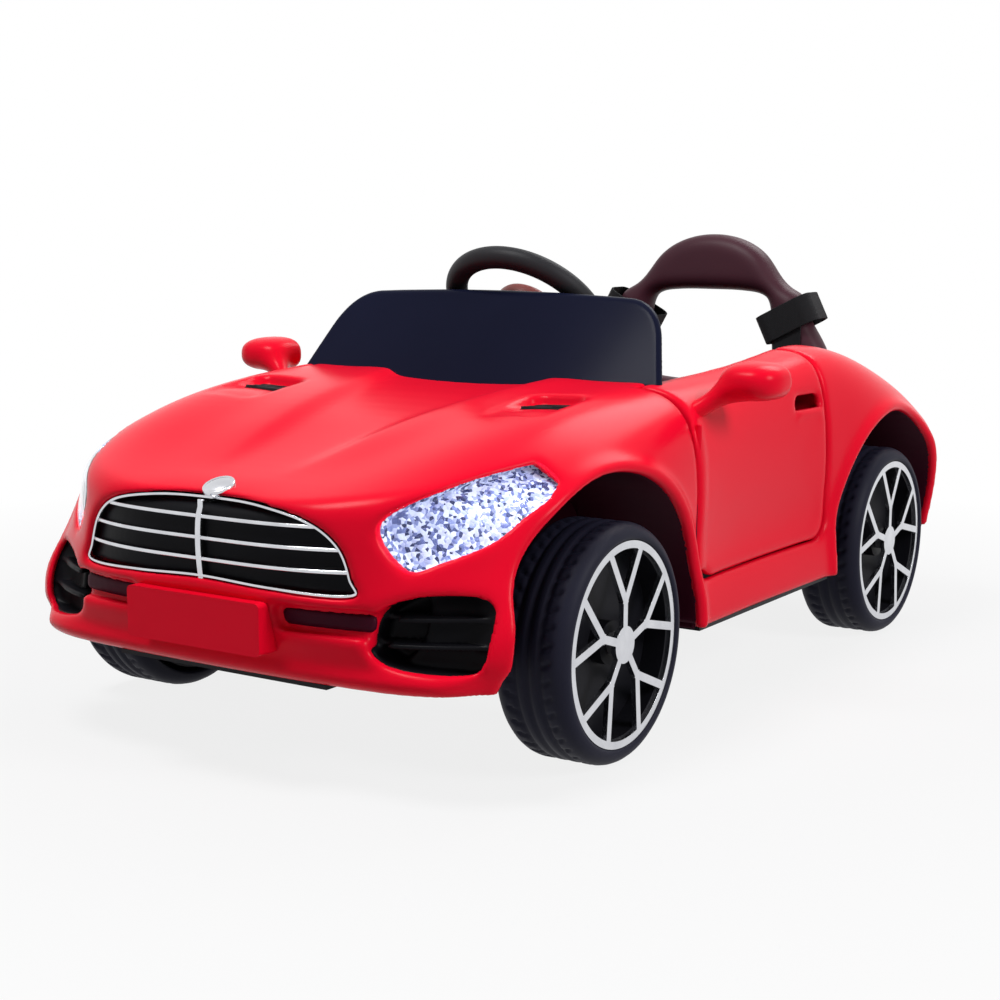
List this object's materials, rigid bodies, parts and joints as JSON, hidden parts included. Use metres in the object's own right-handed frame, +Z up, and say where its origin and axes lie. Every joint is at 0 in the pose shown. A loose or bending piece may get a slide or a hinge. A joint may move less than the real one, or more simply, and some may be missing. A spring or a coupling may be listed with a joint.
{
  "type": "electric ride on car",
  "caption": "Child's battery ride-on roadster: glossy moulded body, open cockpit with hoop seat, steered front wheels, geared rear wheels, opening doors, low windscreen and mirrors.",
  "frame": {"origin": "on the ground under the middle of the car", "axes": "+Y from nose to tail, +X to the driver's left, +Z up"},
  "size_m": [0.672, 1.08, 0.4653],
  "materials": {
    "red_shell": "high gloss red moulding",
    "black_plastic": "satin black moulding",
    "horn_cap": "satin brown cap",
    "seat": "satin dark maroon moulding",
    "chrome": "bright plated",
    "rim": "dark satin wheel moulding",
    "tyre": "black tread",
    "clear": "clear",
    "screen": "smoked, almost black",
    "red_lens": "deep red lens",
    "mirror": "bright",
    "steel": "plain steel",
    "gear": "natural gear plastic",
    "button": "gloss red cap",
    "webbing": "woven black webbing"
  },
  "bodies": {
    "car": {"battery": "black_plastic", "belt_buckle": "black_plastic", "belt_straps": "webbing", "body_shell": "red_shell", "charge_socket": "black_plastic", "chassis_pan": "black_plastic", "dashboard": "black_plastic", "door_hinge_pins": "steel", "drive_motors": "steel", "front_axle_beam": "steel", "gearbox_housings": "black_plastic", "grille_bars": "chrome", "grille_panel": "black_plastic", "headlamp_bowls": "black_plastic", "headlamp_lenses": "clear", "intake_grilles": "black_plastic", "nose_badge": "chrome", "number_plates": "red_shell", "pan_screws": "steel", "rear_axle": "steel", "seat_back": "seat", "seat_base": "seat", "tail_lamps": "red_lens", "wheel_liners": "black_plastic", "windscreen": "screen"},
    "steering": {"steering_wheel": "black_plastic", "steering_column": "steel"},
    "horn": {"horn_button": "horn_cap"},
    "tie_rod": {"tie_rod": "steel"},
    "pedal": {"accelerator_pedal": "black_plastic"},
    "start_button": {"start_button": "button"},
    "direction_switch": {"direction_switch": "black_plastic"},
    "knuckle_left": {"steering_knuckle_left": "steel"},
    "wheel_front_left": {"tyre_front_left": "tyre", "rim_front_left": "rim", "wheel_trim_front_left": "chrome"},
    "wheel_rear_left": {"tyre_rear_left": "tyre", "rim_rear_left": "rim", "wheel_trim_rear_left": "chrome", "drive_gear_left": "gear"},
    "pinion_left": {"motor_pinion_left": "gear"},
    "door_left": {"door_skin_left": "red_shell", "door_card_left": "black_plastic", "mirror_housing_left": "red_shell", "mirror_glass_left": "mirror"},
    "latch_left": {"door_latch_left": "black_plastic"},
    "knuckle_right": {"steering_knuckle_right": "steel"},
    "wheel_front_right": {"tyre_front_right": "tyre", "rim_front_right": "rim", "wheel_trim_front_right": "chrome"},
    "wheel_rear_right": {"tyre_rear_right": "tyre", "rim_rear_right": "rim", "wheel_trim_rear_right": "chrome", "drive_gear_right": "gear"},
    "pinion_right": {"motor_pinion_right": "gear"},
    "door_right": {"door_skin_right": "red_shell", "door_card_right": "black_plastic", "mirror_housing_right": "red_shell", "mirror_glass_right": "mirror"},
    "latch_right": {"door_latch_right": "black_plastic"}
  },
  "joints": [
    {"name": "steering_turn", "type": "hinge", "parent": "car", "child": "steering", "pos_m": [0, -0.001, 0.386], "axis": [0, -0.7071, -0.7071], "range_deg": [-22, 22]},
    {"name": "horn_push", "type": "slide", "parent": "steering", "child": "horn", "axis": [0, -0.7071, -0.7071], "range_m": [0, 0.002], "stiffness_N_per_m": 600, "springref_m": -0.001},
    {"name": "tie_rod_slide", "type": "slide", "parent": "car", "child": "tie_rod", "axis": [1, 0, 0], "range_m": [-0.0176, 0.0176]},
    {"name": "pedal_press", "type": "hinge", "parent": "car", "child": "pedal", "pos_m": [-0.062, -0.06, 0.101], "axis": [1, 0, 0], "range_deg": [0, 12], "stiffness_Nm_per_rad": 1.5, "springref_deg": -5.73},
    {"name": "start_push", "type": "slide", "parent": "car", "child": "start_button", "axis": [0, -0.9406, -0.3396], "range_m": [0, 0.0025], "stiffness_N_per_m": 400, "springref_m": -0.001},
    {"name": "direction_rock", "type": "hinge", "parent": "car", "child": "direction_switch", "pos_m": [-0.096, -0.06264, 0.27996], "axis": [1, 0, 0], "range_deg": [-12, 12]},
    {"name": "knuckle_left_steer", "type": "hinge", "parent": "car", "child": "knuckle_left", "pos_m": [0.196, -0.292, 0.11], "axis": [0, 0, 1], "range_deg": [-22.5, 22.5]},
    {"name": "wheel_front_left_spin", "type": "hinge", "parent": "knuckle_left", "child": "wheel_front_left", "pos_m": [0.255, -0.292, 0.11], "axis": [1, 0, 0], "continuous": true},
    {"name": "wheel_rear_left_spin", "type": "hinge", "parent": "car", "child": "wheel_rear_left", "pos_m": [0.255, 0.348, 0.11], "axis": [1, 0, 0], "continuous": true},
    {"name": "pinion_left_spin", "type": "hinge", "parent": "car", "child": "pinion_left", "pos_m": [0.17, 0.30836, 0.14097], "axis": [1, 0, 0], "continuous": true},
    {"name": "door_left_swing", "type": "hinge", "parent": "car", "child": "door_left", "pos_m": [0.273, -0.122, 0.224], "axis": [0, 0, -1], "range_deg": [0, 45]},
    {"name": "latch_left_pull", "type": "hinge", "parent": "door_left", "child": "latch_left", "pos_m": [0.206, -0.066, 0.316], "axis": [1, 0, 0], "range_deg": [0, 25], "stiffness_Nm_per_rad": 0.1, "springref_deg": -11.46},
    {"name": "knuckle_right_steer", "type": "hinge", "parent": "car", "child": "knuckle_right", "pos_m": [-0.196, -0.292, 0.11], "axis": [0, 0, 1], "range_deg": [-22.5, 22.5]},
    {"name": "wheel_front_right_spin", "type": "hinge", "parent": "knuckle_right", "child": "wheel_front_right", "pos_m": [-0.255, -0.292, 0.11], "axis": [1, 0, 0], "continuous": true},
    {"name": "wheel_rear_right_spin", "type": "hinge", "parent": "car", "child": "wheel_rear_right", "pos_m": [-0.255, 0.348, 0.11], "axis": [1, 0, 0], "continuous": true},
    {"name": "pinion_right_spin", "type": "hinge", "parent": "car", "child": "pinion_right", "pos_m": [-0.17, 0.30836, 0.14097], "axis": [1, 0, 0], "continuous": true},
    {"name": "door_right_swing", "type": "hinge", "parent": "car", "child": "door_right", "pos_m": [-0.273, -0.122, 0.224], "axis": [0, 0, 1], "range_deg": [0, 45]},
    {"name": "latch_right_pull", "type": "hinge", "parent": "door_right", "child": "latch_right", "pos_m": [-0.206, -0.066, 0.316], "axis": [1, 0, 0], "range_deg": [0, 25], "stiffness_Nm_per_rad": 0.1, "springref_deg": -11.46}
  ],
  "couplings": [
    {"joint": "tie_rod_slide", "follows": "steering_turn", "m_per_rad": 0.0456},
    {"joint": "knuckle_left_steer", "follows": "steering_turn", "ratio": -1},
    {"joint": "pinion_left_spin", "follows": "wheel_rear_left_spin", "ratio": -3.4286},
    {"joint": "knuckle_right_steer", "follows": "steering_turn", "ratio": -1},
    {"joint": "pinion_right_spin", "follows": "wheel_rear_right_spin", "ratio": -3.4286}
  ]
}
